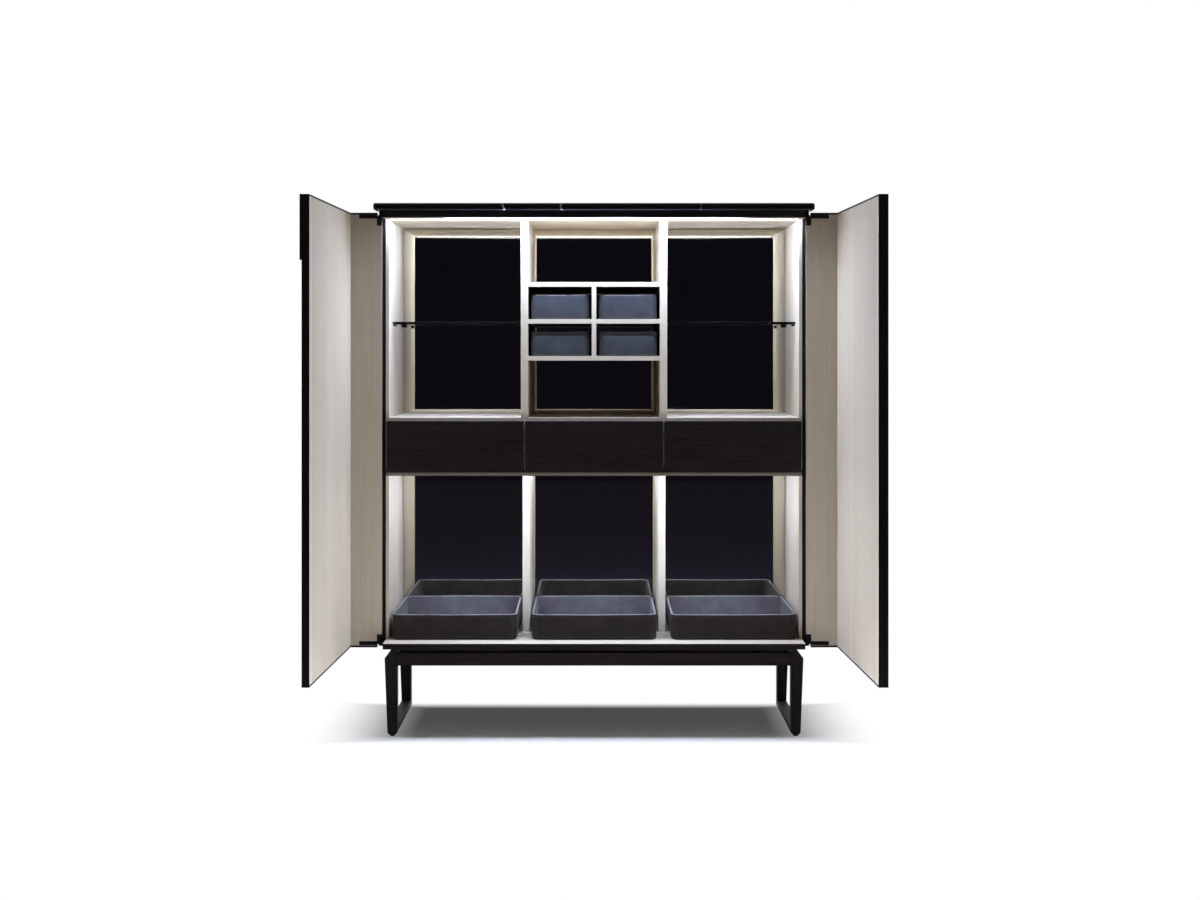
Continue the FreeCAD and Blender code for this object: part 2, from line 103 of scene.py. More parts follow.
class NodeSketch:
    """A node tree with short methods for the nodes that the finishes use."""

    def __init__(self, tree: bpy.types.NodeTree) -> None:
        """Keeps the material's, world's or group's tree that the nodes go into."""
        self.tree = tree

    def add(self, kind: str, **settings: object) -> bpy.types.Node:
        """Adds a node.

        Args:
            kind: the node's type name.
            settings: properties to set on the node.

        Returns:
            The new node.
        """
        node = self.tree.nodes.new(kind)
        for name, value in settings.items():
            setattr(node, name, value)
        return node

    def feed(self, socket: Socket, value: Value) -> None:
        """Links a socket to the input, or sets a plain value on it.

        Args:
            socket: the input socket.
            value: another node's output, or a number or tuple.
        """
        if isinstance(value, bpy.types.NodeSocket):
            self.tree.links.new(value, socket)
        else:
            socket.default_value = value

    def math(self, operation: str, first: Value, second: Value = 0.0, clamp: bool = False) -> Socket:
        """A Math node.

        Args:
            operation: the operation's name.
            first: first number or socket.
            second: second number or socket.
            clamp: True to keep the result between 0 and 1.

        Returns:
            The result socket.
        """
        node = self.add("ShaderNodeMath", operation=operation, use_clamp=clamp)
        self.feed(node.inputs[0], first)
        self.feed(node.inputs[1], second)
        return node.outputs[0]

    def blend(self, factor: Value, first: Value, second: Value) -> Socket:
        """A colour mix of two colours by a factor.

        Args:
            factor: 0 gives the first colour, 1 the second.
            first: first colour, with alpha, or a socket.
            second: second colour, with alpha, or a socket.

        Returns:
            The mixed colour's socket.
        """
        node = self.add("ShaderNodeMix", data_type="RGBA", clamp_factor=True)
        # The node's colours are inputs 6 and 7 and output 2, after those for numbers and vectors.
        self.feed(node.inputs[0], factor)
        self.feed(node.inputs[6], first)
        self.feed(node.inputs[7], second)
        return node.outputs[2]

    def spread(self, value: Value, low: float, high: float, to_low: float = 0.0,
               to_high: float = 1.0) -> Socket:
        """A smooth step that carries low to to_low and high to to_high.

        Args:
            value: the socket to map.
            low: value that gives to_low.
            high: value that gives to_high.
            to_low: result at and below low.
            to_high: result at and above high.

        Returns:
            The mapped value's socket.
        """
        node = self.add("ShaderNodeMapRange", interpolation_type="SMOOTHSTEP")
        for socket, number in zip(node.inputs[1:5], (low, high, to_low, to_high)):
            socket.default_value = number
        self.feed(node.inputs[0], value)
        return node.outputs[0]

    def noise(self, vector: Value, pattern: Noise) -> Socket:
        """A noise texture.

        Args:
            vector: coordinates.
            pattern: its settings, named as the node's inputs are.

        Returns:
            The noise value's socket.
        """
        node = self.add("ShaderNodeTexNoise")
        for name, number in asdict(pattern).items():
            node.inputs[name.capitalize()].default_value = number
        self.feed(node.inputs["Vector"], vector)
        return node.outputs[0]

    def cells(self, vector: Value, scale: float, feature: str = "F1") -> Socket:
        """A Voronoi texture's distance.

        Args:
            vector: coordinates.
            scale: cells per metre.
            feature: which distance is measured.

        Returns:
            The distance socket.
        """
        node = self.add("ShaderNodeTexVoronoi", feature=feature)
        node.inputs["Scale"].default_value = scale
        self.feed(node.inputs["Vector"], vector)
        return node.outputs["Distance"]

    def place(self, stretch: Point = (1.0, 1.0, 1.0)) -> Socket:
        """A piece's own coordinates, stretched.

        Args:
            stretch: factors along X, Y and Z.

        Returns:
            The coordinates' socket.
        """
        source = self.add("ShaderNodeTexCoord")
        mapping = self.add("ShaderNodeMapping")
        mapping.inputs["Scale"].default_value = stretch
        self.feed(mapping.inputs["Vector"], source.outputs["Object"])
        return mapping.outputs["Vector"]

    def split(self, vector: Value) -> bpy.types.bpy_prop_collection:
        """A vector's parts.

        Args:
            vector: the vector's socket.

        Returns:
            The sockets named X, Y and Z.
        """
        node = self.add("ShaderNodeSeparateXYZ")
        self.feed(node.inputs[0], vector)
        return node.outputs

    def use(self, group: bpy.types.NodeTree, **inputs: Value) -> bpy.types.Node:
        """Places a shared effect.

        Args:
            group: the effect's node group.
            inputs: values or sockets by input name.

        Returns:
            The group node.
        """
        node = self.add("ShaderNodeGroup", node_tree=group)
        for name, value in inputs.items():
            self.feed(node.inputs[name], value)
        return node


WOOD_FIGURE = Noise(7.0, 3.0, 0.5, 0.8)
WOOD_STREAKS = Noise(130.0, 4.0, 0.62, 0.2)
WOOD_PORES = Noise(520.0, 2.0, 0.6)
PORE_SPAN = (0.56, 0.68)
PORE_SINK = 0.6
HIDE_MOTTLE = Noise(26.0, 4.0, 0.6)
HIDE_PEBBLES_PER_METRE = 720.0
CREASE_WIDTH = 0.16
PEBBLE_SINK = 0.5
WIPE_MARKS = Noise(5.0, 5.0, 0.6, 1.2)
WIPE_SPAN = (0.35, 0.7)
DUST_SPECKS = Noise(900.0, 2.0, 0.7)
DUST_SPAN = (0.6, 0.8)


@dataclass(frozen=True)
class SharedEffects:
    """The node groups that several finishes place."""

    grain: bpy.types.NodeTree
    hide: bpy.types.NodeTree
    handling: bpy.types.NodeTree

    @staticmethod
    def _open(name: str, outputs: tuple[str, ...]) -> tuple[NodeSketch, Socket, bpy.types.Node]:
        """Starts a group with one vector input and value outputs.

        Args:
            name: the group's name.
            outputs: names of its outputs.

        Returns:
            The sketch, the input socket and the output node.
        """
        tree = bpy.data.node_groups.new(name, "ShaderNodeTree")
        tree.interface.new_socket(name="Vector", in_out="INPUT", socket_type="NodeSocketVector")
        for output in outputs:
            tree.interface.new_socket(name=output, in_out="OUTPUT", socket_type="NodeSocketFloat")
        sketch = NodeSketch(tree)
        entry = sketch.add("NodeGroupInput")
        return sketch, entry.outputs["Vector"], sketch.add("NodeGroupOutput")

    @classmethod
    def build(cls) -> "SharedEffects":
        """Makes the three groups once."""
        return cls(cls._grain(), cls._hide(), cls._handling())

    @classmethod
    def _grain(cls) -> bpy.types.NodeTree:
        """Wood grain as noise on stretched coordinates: figure and streaks in equal parts, and short pores.

        Returns:
            The group.
        """
        sketch, vector, out = cls._open("wood_grain", ("Tone", "Pore", "Height"))
        broad = sketch.math("MULTIPLY", sketch.noise(vector, WOOD_FIGURE), 0.5)
        narrow = sketch.math("MULTIPLY", sketch.noise(vector, WOOD_STREAKS), 0.5)
        pore = sketch.spread(sketch.noise(vector, WOOD_PORES), *PORE_SPAN)
        sunk = sketch.math("MULTIPLY", pore, PORE_SINK)
        sketch.feed(out.inputs["Tone"], sketch.math("ADD", broad, narrow))
        sketch.feed(out.inputs["Pore"], pore)
        sketch.feed(out.inputs["Height"], sketch.math("SUBTRACT", narrow, sunk))
        return sketch.tree

    @classmethod
    def _hide(cls) -> bpy.types.NodeTree:
        """Leather: small rounded cells parted by creases, over a slow mottling.

        Returns:
            The group.
        """
        sketch, vector, out = cls._open("leather_hide", ("Tone", "Crease", "Height"))
        to_edge = sketch.cells(vector, HIDE_PEBBLES_PER_METRE, "DISTANCE_TO_EDGE")
        crease = sketch.spread(to_edge, 0.0, CREASE_WIDTH)
        pebble = sketch.math("MULTIPLY", sketch.cells(vector, HIDE_PEBBLES_PER_METRE), PEBBLE_SINK)
        sketch.feed(out.inputs["Tone"], sketch.noise(vector, HIDE_MOTTLE))
        sketch.feed(out.inputs["Crease"], crease)
        sketch.feed(out.inputs["Height"], sketch.math("SUBTRACT", crease, pebble))
        return sketch.tree

    @classmethod
    def _handling(cls) -> bpy.types.NodeTree:
        """Handling: soft wipe marks for a finish's roughness, and fine dust for its colour.

        Returns:
            The group.
        """
        sketch, vector, out = cls._open("handling_marks", ("Wipe", "Dust"))
        for name, pattern, span in (("Wipe", WIPE_MARKS, WIPE_SPAN), ("Dust", DUST_SPECKS, DUST_SPAN)):
            sketch.feed(out.inputs[name], sketch.spread(sketch.noise(vector, pattern), *span))
        return sketch.tree


class Finish:
    """A material with one Principled shader and its sketch."""

    def __init__(self, name: str) -> None:
        """Starts a material with a plain shader.

        Args:
            name: the material's name.
        """
        self.material = bpy.data.materials.new(name)
        self.material.use_nodes = True
        self.sketch = NodeSketch(self.material.node_tree)
        self.material.node_tree.nodes.clear()
        self.shader = self.sketch.add("ShaderNodeBsdfPrincipled")
        self.output = self.sketch.add("ShaderNodeOutputMaterial")
        self.sketch.feed(self.output.inputs["Surface"], self.shader.outputs[0])

    def set(self, **values: Value) -> None:
        """Feeds the shader's inputs by name, with underscores for a name's spaces."""
        for name, value in values.items():
            self.sketch.feed(self.shader.inputs[name.replace("_", " ")], value)

    def relief(self, height: Socket, strength: float, distance: float) -> None:
        """Adds a bump.

        Args:
            height: the height's socket.
            strength: how strongly it shows.
            distance: its depth in metres.
        """
        bump = self.sketch.add("ShaderNodeBump")
        bump.inputs["Strength"].default_value = strength
        bump.inputs["Distance"].default_value = distance
        self.sketch.feed(bump.inputs["Height"], height)
        self.sketch.feed(self.shader.inputs["Normal"], bump.outputs[0])

    def handle(self, effects: SharedEffects, roughness: Span) -> tuple[Socket, Socket]:
        """The roughness, which wipe marks carry from its first value to its second, and the dust's mask."""
        marks = self.sketch.use(effects.handling, Vector=self.sketch.place())
        return self.sketch.spread(marks.outputs["Wipe"], 0.0, 1.0, *roughness), marks.outputs["Dust"]


def opaque(colour: Colour) -> tuple[float, float, float, float]:
    """The colour with a full alpha, as a colour socket takes it."""
    return (*colour, 1.0)


@dataclass(frozen=True)
class WoodFinish:
    """A veneer: two tones between which the grain runs, darker pores and a satin lacquer."""

    name: str
    shade: Colour
    light: Colour
    pore: Colour
    pore_share: float
    roughness: Span
    relief: float
    gloss: float = 0.5
    tone_span: Span = (0.32, 0.68)
    pore_roughness: float = 0.12
    depth: float = 0.0004

    def colour(self, sketch: NodeSketch, effects: SharedEffects,
               grain: Grain) -> tuple[Socket, bpy.types.Node]:
        """The veneer's colour on a piece's own coordinates.

        Args:
            sketch: the material's sketch.
            effects: the shared groups.
            grain: the way the grain runs.

        Returns:
            The colour socket and the grain node.
        """
        node = sketch.use(effects.grain, Vector=sketch.place(grain.value))
        tone = sketch.spread(node.outputs["Tone"], *self.tone_span)
        plain = sketch.blend(tone, opaque(self.shade), opaque(self.light))
        pores = sketch.math("MULTIPLY", node.outputs["Pore"], self.pore_share)
        return sketch.blend(pores, plain, opaque(self.pore)), node

    def dress(self, finish: Finish, effects: SharedEffects, colour: Socket, node: bpy.types.Node) -> None:
        """Feeds colour, roughness and relief into a finish.

        Args:
            finish: the material in work.
            effects: the shared groups.
            colour: base colour.
            node: the grain node.
        """
        rough, _ = finish.handle(effects, self.roughness)
        pores = finish.sketch.math("MULTIPLY", node.outputs["Pore"], self.pore_roughness)
        finish.set(Base_Color=colour, Roughness=finish.sketch.math("ADD", rough, pores, clamp=True),
                   Specular_IOR_Level=self.gloss)
        finish.relief(node.outputs["Height"], self.relief, self.depth)

    def build(self, effects: SharedEffects, grain: Grain) -> bpy.types.Material:
        """The material with its grain along one axis.

        Args:
            effects: the shared groups.
            grain: the way the grain runs.

        Returns:
            The material.
        """
        finish = Finish(self.name + "_" + grain.name.lower())
        colour, node = self.colour(finish.sketch, effects, grain)
        self.dress(finish, effects, colour, node)
        return finish.material


@dataclass(frozen=True)
class FacedPanelFinish:
    """A panel of one wood whose one face carries another veneer."""

    body: WoodFinish
    veneer: WoodFinish
    facing_span: Span = (0.8, 0.95)

    def build(self, effects: SharedEffects, face: Face) -> bpy.types.Material:
        """The two-tone material: the veneer shows where the surface looks the face's way.

        Args:
            effects: the shared groups.
            face: which face is veneered.

        Returns:
            The material.
        """
        finish = Finish("faced_panel_" + face.name.lower())
        sketch = finish.sketch
        body, node = self.body.colour(sketch, effects, Grain.ALONG_X)
        veneer, _ = self.veneer.colour(sketch, effects, Grain.ALONG_X)
        axis, sign = face.value
        normal = sketch.split(sketch.add("ShaderNodeTexCoord").outputs["Normal"])
        faced = sketch.spread(sketch.math("MULTIPLY", normal[axis], sign), *self.facing_span)
        self.body.dress(finish, effects, sketch.blend(faced, body, veneer), node)
        return finish.material


@dataclass(frozen=True)
class DoorLiningFinish:
    """The pale veneer inside a door, with a lighter stile by the free edge and a fine joint beside it."""

    pale: WoodFinish
    stile: Colour
    joint: Colour
    stile_width: float = 0.034
    stile_share: float = 0.3
    joint_width: float = 0.0012
    joint_share: float = 0.7

    def build(self, effects: SharedEffects, name: str, free_edge: float) -> bpy.types.Material:
        """The material of one door's lining, open as it rests.

        Args:
            effects: the shared groups.
            name: the material's name.
            free_edge: Y of the free edge at rest.

        Returns:
            The material.
        """
        finish = Finish(name)
        sketch = finish.sketch
        colour, node = self.pale.colour(sketch, effects, Grain.ALONG_Z)
        inward = sketch.math("SUBTRACT", sketch.split(sketch.place())["Y"], free_edge)
        in_stile = sketch.math("LESS_THAN", inward, self.stile_width)
        beside = sketch.math("ABSOLUTE", sketch.math("SUBTRACT", inward, self.stile_width))
        in_joint = sketch.math("LESS_THAN", beside, self.joint_width)
        for mask, share, tint in ((in_stile, self.stile_share, self.stile),
                                  (in_joint, self.joint_share, self.joint)):
            colour = sketch.blend(sketch.math("MULTIPLY", mask, share), colour, opaque(tint))
        self.pale.dress(finish, effects, colour, node)
        return finish.material


@dataclass(frozen=True)
class Veins:
    """A family of veins: steepness along X and along Y, bend, line width and strength."""

    along_x: float
    along_y: float
    bend: float
    width: float
    strength: float


@dataclass(frozen=True)
class StoneFinish:
    """Polished black marble: cloudy black ground with a few thin white veins."""

    ground: Colour = (0.0045, 0.0045, 0.0055)
    cloud: Colour = (0.0150, 0.0150, 0.0180)
    vein: Colour = (0.62, 0.61, 0.59)
    main_veins: Veins = Veins(0.8, 2.3, 0.42, 0.0075, 1.0)
    side_veins: Veins = Veins(2.7, -1.7, 0.62, 0.0085, 0.45)
    clouds: Noise = Noise(9.0, 5.0, 0.6, 1.5)
    bend: Noise = Noise(3.2, 6.0, 0.55, 0.4)
    fade: Noise = Noise(6.0)
    fade_span: Span = (0.44, 0.62)
    roughness: Span = (0.09, 0.16)
    gloss: float = 0.5

    def bent_lines(self, sketch: NodeSketch, place: Socket, veins: Veins) -> Socket:
        """Thin lines of a slanted wave that a slow noise bends, and that fade in and out along their run.

        The wave's phase is X and Y times its two steepnesses, plus noise times the bend. A line lies
        where the phase's fraction passes a half.

        Args:
            sketch: the material's sketch.
            place: coordinates.
            veins: the wave's and the lines' values.

        Returns:
            The lines as a mask.
        """
        parts = sketch.split(place)
        slant = sketch.math("ADD", sketch.math("MULTIPLY", parts["X"], veins.along_x),
                            sketch.math("MULTIPLY", parts["Y"], veins.along_y))
        bent = sketch.math("MULTIPLY", sketch.noise(place, self.bend), veins.bend)
        phase = sketch.math("FRACT", sketch.math("ADD", slant, bent))
        distance = sketch.math("ABSOLUTE", sketch.math("SUBTRACT", phase, 0.5))
        line = sketch.spread(distance, 0.0, veins.width, 1.0, 0.0)
        fade = sketch.spread(sketch.noise(place, self.fade), *self.fade_span, 0.0, veins.strength)
        return sketch.math("MULTIPLY", line, fade)

    def build(self, effects: SharedEffects) -> bpy.types.Material:
        """Cloudy ground with a few long veins and finer side veins.

        Args:
            effects: the shared groups.

        Returns:
            The material.
        """
        finish = Finish("black_marble")
        sketch = finish.sketch
        place = sketch.place()
        ground = sketch.blend(sketch.noise(place, self.clouds), opaque(self.ground), opaque(self.cloud))
        vein = sketch.math("MAXIMUM", self.bent_lines(sketch, place, self.main_veins),
                           self.bent_lines(sketch, place, self.side_veins))
        rough, _ = finish.handle(effects, self.roughness)
        finish.set(Base_Color=sketch.blend(vein, ground, opaque(self.vein)), Roughness=rough,
                   Specular_IOR_Level=self.gloss)
        return finish.material


@dataclass(frozen=True)
class LeatherFinish:
    """Leather with fine pebbles, slow mottling and a soft sheen, a second tone inside and a painted
    highlight along the rim. For the trays the two tones are painted light: a lighter, bluer inside as lit
    by the light lines, and a darker, warmer outside in shade.

    The shell's attribute "lining" is 0 outside and 1 inside, and "rim" is 1 along the top edge.
    """

    name: str
    outside: tuple[Colour, Colour]
    inside: tuple[Colour, Colour]
    # A pale tone along the rim: a painted highlight where light catches the edge.
    worn: Colour = (0.300, 0.290, 0.290)
    worn_share: float = 0.8
    least_worn_share: float = 0.3
    worn_span: Span = (0.25, 0.6)
    tone_span: Span = (0.3, 0.7)
    crease_shade: float = 0.6
    roughness: Span = (0.62, 0.46)
    gloss: float = 0.3
    sheen: float = 0.06
    sheen_roughness: float = 0.4
    relief: float = 0.35
    depth: float = 0.0003

    def build(self, effects: SharedEffects) -> bpy.types.Material:
        """The material.

        Args:
            effects: the shared groups.

        Returns:
            The material.
        """
        finish = Finish(self.name)
        sketch = finish.sketch
        hide = sketch.use(effects.hide, Vector=sketch.place())
        mottle, crease = hide.outputs["Tone"], hide.outputs["Crease"]
        tone = sketch.math("MULTIPLY", sketch.spread(mottle, *self.tone_span),
                           sketch.spread(crease, 0.0, 1.0, self.crease_shade, 1.0))
        # For the trays the inside tone is painted light and the outside tone painted shade.
        outer, inner = (sketch.blend(tone, opaque(shade), opaque(light))
                        for shade, light in (self.outside, self.inside))
        lining, rim = (sketch.add("ShaderNodeAttribute", attribute_name=name).outputs["Fac"]
                       for name in ("lining", "rim"))
        # The rim takes a painted highlight, patchy with the mottling.
        painted_highlight_mask = sketch.spread(mottle, *self.worn_span, self.least_worn_share, self.worn_share)
        skin = sketch.blend(lining, outer, inner)
        finish.set(Base_Color=sketch.blend(sketch.math("MULTIPLY", rim, painted_highlight_mask), skin, opaque(self.worn)),
                   Roughness=sketch.spread(crease, 0.0, 1.0, *self.roughness),
                   Specular_IOR_Level=self.gloss, Sheen_Weight=self.sheen,
                   Sheen_Roughness=self.sheen_roughness)
        finish.relief(hide.outputs["Height"], self.relief, self.depth)
        return finish.material


@dataclass(frozen=True)
class PlainFinish:
    """A moulded, painted or metal surface: one colour with dust, wipe marks and a fine texture."""

    name: str
    colour: Colour
    dusted: Colour
    roughness: Span
    metallic: float = 0.0
    texture: float = 900.0
    relief: float = 0.1
    glow: Colour | None = None
    glow_strength: float = 0.0
    depth: float = 0.0002

    def build(self, effects: SharedEffects) -> bpy.types.Material:
        """The material.

        Args:
            effects: the shared groups.

        Returns:
            The material.
        """
        finish = Finish(self.name)
        sketch = finish.sketch
        rough, dust = finish.handle(effects, self.roughness)
        finish.set(Base_Color=sketch.blend(dust, opaque(self.colour), opaque(self.dusted)),
                   Roughness=rough, Metallic=self.metallic)
        if self.glow is not None:
            finish.set(Emission_Color=opaque(self.glow), Emission_Strength=self.glow_strength)
        bumps = sketch.noise(sketch.place(), Noise(self.texture, detail=2.0))
        finish.relief(bumps, self.relief, self.depth)
        return finish.material


@dataclass(frozen=True)
class GlassFinish:
    """Smoked glass: clear and dark, with faint wipe marks."""

    tint: Colour = (0.16, 0.16, 0.17)
    passed_light: float = 0.82
    roughness: Span = (0.0, 0.03)
    index: float = 1.5

    def build(self, effects: SharedEffects) -> bpy.types.Material:
        """The material.

        Args:
            effects: the shared groups.

        Returns:
            The material.
        """
        finish = Finish("smoked_glass")
        sketch = finish.sketch
        rough, _ = finish.handle(effects, self.roughness)
        shadow = sketch.add("ShaderNodeLightPath").outputs["Is Shadow Ray"]
        passed = sketch.math("MULTIPLY", shadow, self.passed_light)
        finish.set(Base_Color=opaque(self.tint), Transmission_Weight=1.0, IOR=self.index,
                   Roughness=rough, Alpha=sketch.math("SUBTRACT", 1.0, passed))
        return finish.material


DARK_WOOD = WoodFinish("dark_wood", (0.0075, 0.0052, 0.0055), (0.0205, 0.0147, 0.0150),
                       (0.0025, 0.002, 0.002), 0.7, (0.53, 0.57), 0.30, 0.22)
PALE_WOOD = WoodFinish("pale_wood", (0.56, 0.472, 0.362), (0.645, 0.552, 0.436), (0.43, 0.345, 0.25),
                       0.28, (0.50, 0.60), 0.12)
# A darker, browner copy of the pale veneer: painted shade on the door returns' inner faces, which look to
# the front and get little of the light lines' light.
SHADED_RETURN_WOOD = WoodFinish("return_wood", (0.432, 0.357, 0.269), (0.497, 0.419, 0.324), (0.33, 0.262, 0.189),
                         0.28, (0.50, 0.60), 0.12)
# A darker tone on the lower deck's front face, the thin line under the drawers.
DARK_LIP_TONE = WoodFinish("edge_band", (0.150, 0.125, 0.098), (0.195, 0.165, 0.130), (0.10, 0.08, 0.06),
                       0.30, (0.50, 0.60), 0.12, 0.3)
DOOR_LINING = DoorLiningFinish(PALE_WOOD, (0.74, 0.70, 0.63), (0.20, 0.17, 0.13))
MIRROR = PlainFinish("smoked_mirror", (0.64, 0.60, 0.50), (0.60, 0.56, 0.47), (0.01, 0.03), 1.0, 60.0, 0.0)
BLACK_METAL = PlainFinish("black_metal", (0.010, 0.010, 0.011), (0.022, 0.021, 0.020), (0.34, 0.44), 0.6)
PIN_STEEL = PlainFinish("pin_steel", (0.42, 0.41, 0.40), (0.34, 0.33, 0.32), (0.25, 0.38), 1.0)
PROFILE_METAL = PlainFinish("profile_metal", (0.62, 0.62, 0.63), (0.52, 0.52, 0.52), (0.32, 0.42), 1.0)
OPAL = PlainFinish("opal_diffuser", (0.92, 0.90, 0.85), (0.88, 0.86, 0.80), (0.45, 0.55), 0.0, 900.0, 0.02,
                   (0.86, 0.95, 1.0), 14.0)
LIGHT_TAPE = PlainFinish("light_tape", (0.80, 0.78, 0.70), (0.7, 0.68, 0.6), (0.5, 0.6))
CASE_PLASTIC = PlainFinish("driver_case", (0.030, 0.030, 0.031), (0.05, 0.05, 0.05), (0.45, 0.6))
RUBBER = PlainFinish("inlet_rubber", (0.016, 0.016, 0.016), (0.03, 0.03, 0.03), (0.65, 0.8))
FELT = PlainFinish("glide_felt", (0.028, 0.027, 0.026), (0.05, 0.048, 0.045), (0.85, 0.95), 0.0,
                   1600.0, 0.5)
# The trays' outside is painted shade, darker and warmer, and their inside painted light, about three times
# lighter and bluer, as the light lines fall into them.
TRAY_LEATHER_PAINTED_LIGHT = LeatherFinish("tray_leather", ((0.0180, 0.0135, 0.0126), (0.0270, 0.0207, 0.0191)),
                             ((0.0605, 0.0530, 0.0552), (0.0890, 0.0778, 0.0808)))
BOX_LEATHER = LeatherFinish("box_leather", ((0.0450, 0.0460, 0.0540), (0.0660, 0.0670, 0.0790)),
                            ((0.0460, 0.0460, 0.0520), (0.0680, 0.0680, 0.0770)))
THREAD = PlainFinish("waxed_thread", (0.060, 0.058, 0.064), (0.08, 0.078, 0.08), (0.5, 0.6))


def mesh_object(name: str, points: np.ndarray, faces: list[list[int]],
                smooth: bool = True) -> bpy.types.Object:
    """Puts points and faces into a new object, with its faces turned outwards.

    Args:
        name: the object's name.
        points: N by 3 array in metres.
        faces: lists of point numbers.
        smooth: True for smooth shading.

    Returns:
        The new object, linked to the scene.
    """
    mesh = bpy.data.meshes.new(name)
    mesh.from_pydata(points.tolist(), [], faces)
    work = bmesh.new()
    work.from_mesh(mesh)
    bmesh.ops.recalc_face_normals(work, faces=work.faces)
    work.to_mesh(mesh)
    work.free()
    mesh.polygons.foreach_set("use_smooth", np.full(len(mesh.polygons), smooth))
    mesh.update()
    piece = bpy.data.objects.new(name, mesh)
    bpy.context.scene.collection.objects.link(piece)
    return piece


def ring_faces(rings: int, around: int) -> np.ndarray:
    """Quads between neighbouring closed rings of points.

    Args:
        rings: number of rings.
        around: points on each ring.

    Returns:
        Array of quads, four point numbers each.
    """
    ring, step = np.meshgrid(np.arange(rings - 1), np.arange(around), indexing="ij")
    after = (step + 1) % around
    low = ring * around
    quads = np.stack((low + step, low + after, low + around + after, low + around + step), axis=-1)
    return quads.reshape(-1, 4)


def closed_shells(name: str, grids: np.ndarray) -> bpy.types.Object:
    """Equal closed surfaces in one object, each a stack of rings with a flat cap at both ends.

    Args:
        name: the object's name.
        grids: copies by rings by points by 3 array.

    Returns:
        The new object.
    """
    copies, rings, around, _ = grids.shape
    starts = (np.arange(copies) * rings * around)[:, None, None]
    cap = np.arange(around)
    caps = np.stack((cap[::-1], cap + (rings - 1) * around))
    quads = (ring_faces(rings, around) + starts).reshape(-1, 4)
    faces = quads.tolist() + (caps + starts).reshape(-1, around).tolist()
    return mesh_object(name, grids.reshape(-1, 3), faces)


def paint(piece: bpy.types.Object, material: bpy.types.Material) -> None:
    """Gives a piece its only material."""
    piece.data.materials.clear()
    piece.data.materials.append(material)


def area_lamp(name: str, size: Span, power: float, colour: Colour) -> bpy.types.Object:
    """A rectangular lamp that the camera and reflections don't see.

    Args:
        name: the lamp's name.
        size: its width and height in metres.
        power: its power in watts.
        colour: the colour of its light.

    Returns:
        The lamp, linked to the scene, at the origin and facing down.
    """
    data = bpy.data.lights.new(name, "AREA")
    data.shape = "RECTANGLE"
    data.size, data.size_y = size
    data.energy = power
    data.color = colour
    lamp = bpy.data.objects.new(name, data)
    lamp.visible_camera = False
    lamp.visible_glossy = False
    bpy.context.scene.collection.objects.link(lamp)
    return lamp


@dataclass
class Palette:
    """The finished materials by the names that the sub-assemblies ask for."""

    effects: SharedEffects = field(default_factory=SharedEffects.build)

    def __post_init__(self) -> None:
        """Builds each material once."""
        self.dark_upright = DARK_WOOD.build(self.effects, Grain.ALONG_Z)
        self.dark_across = DARK_WOOD.build(self.effects, Grain.ALONG_X)
        self.dark_deep = DARK_WOOD.build(self.effects, Grain.ALONG_Y)
        self.pale_upright = PALE_WOOD.build(self.effects, Grain.ALONG_Z)
        self.pale_across = PALE_WOOD.build(self.effects, Grain.ALONG_X)
        self.return_veneer = SHADED_RETURN_WOOD.build(self.effects, Grain.ALONG_Z)
        faced = FacedPanelFinish(DARK_WOOD, PALE_WOOD)
        self.pale_topped = faced.build(self.effects, Face.TOP)
        self.pale_under = faced.build(self.effects, Face.UNDERSIDE)
        self.edged_deck = FacedPanelFinish(PALE_WOOD, DARK_LIP_TONE).build(self.effects, Face.FRONT)
        self.stone = StoneFinish().build(self.effects)
        self.tray_leather = TRAY_LEATHER_PAINTED_LIGHT.build(self.effects)
        self.box_leather = BOX_LEATHER.build(self.effects)
        self.glass = GlassFinish().build(self.effects)
        self.mirror = MIRROR.build(self.effects)
        self.black_metal = BLACK_METAL.build(self.effects)
        self.pin_steel = PIN_STEEL.build(self.effects)
        self.profile_metal = PROFILE_METAL.build(self.effects)
        self.opal = OPAL.build(self.effects)
        self.light_tape = LIGHT_TAPE.build(self.effects)
        self.case_plastic = CASE_PLASTIC.build(self.effects)
        self.rubber = RUBBER.build(self.effects)
        self.felt = FELT.build(self.effects)
        self.thread = THREAD.build(self.effects)


@dataclass
class DressedAssembly:
    """Part of the cabinet whose CAD nodes keep their shapes and get finishes."""

    nodes: dict[str, bpy.types.Object]
    palette: Palette

    def dress(self, finishes: dict[str, bpy.types.Material]) -> None:
        """Gives each named node its finish.

        Args:
            finishes: material by node name.
        """
        for name, material in finishes.items():
            paint(self.nodes[name], material)
            LOG.info("%s: %s", name, material.name)


class Carcass(DressedAssembly):
    """Stone top, panels, linings, dividers, shelves and mirrors."""

    def build(self) -> None:
        """Dresses the boards, stone, mirrors and glass."""
        look = self.palette
        self.dress({"marble_top": look.stone, "top_panel": look.pale_under,
                    "bottom_panel": look.pale_topped, "left_side_panel": look.dark_upright,
                    "right_side_panel": look.dark_upright, "left_side_lining": look.pale_upright,
                    "right_side_lining": look.pale_upright, "back_board": look.dark_upright,
                    "upper_mirror": look.mirror, "lower_mirror": look.mirror,
                    "upper_deck": look.pale_across, "lower_deck": look.edged_deck,
                    "upper_dividers": look.pale_upright, "lower_dividers": look.pale_upright,
                    "drawer_partitions": look.pale_upright, "cubby_shelves": look.pale_across,
                    "cubby_uprights": look.pale_upright, "glass_shelves": look.glass,
                    "shelf_pins": look.black_metal})


class Stand(DressedAssembly):
    """Legs, runners, rails, sub-frame and glides."""

    def build(self) -> None:
        """Dresses the stand's pieces."""
        look = self.palette
        self.dress({"front_legs": look.dark_upright, "rear_legs": look.dark_upright,
                    "floor_runners": look.dark_deep, "side_rails": look.dark_deep,
                    "front_rail": look.dark_across, "rear_rail": look.dark_across,
                    "sub_frame": look.dark_across, "foot_glides": look.felt})


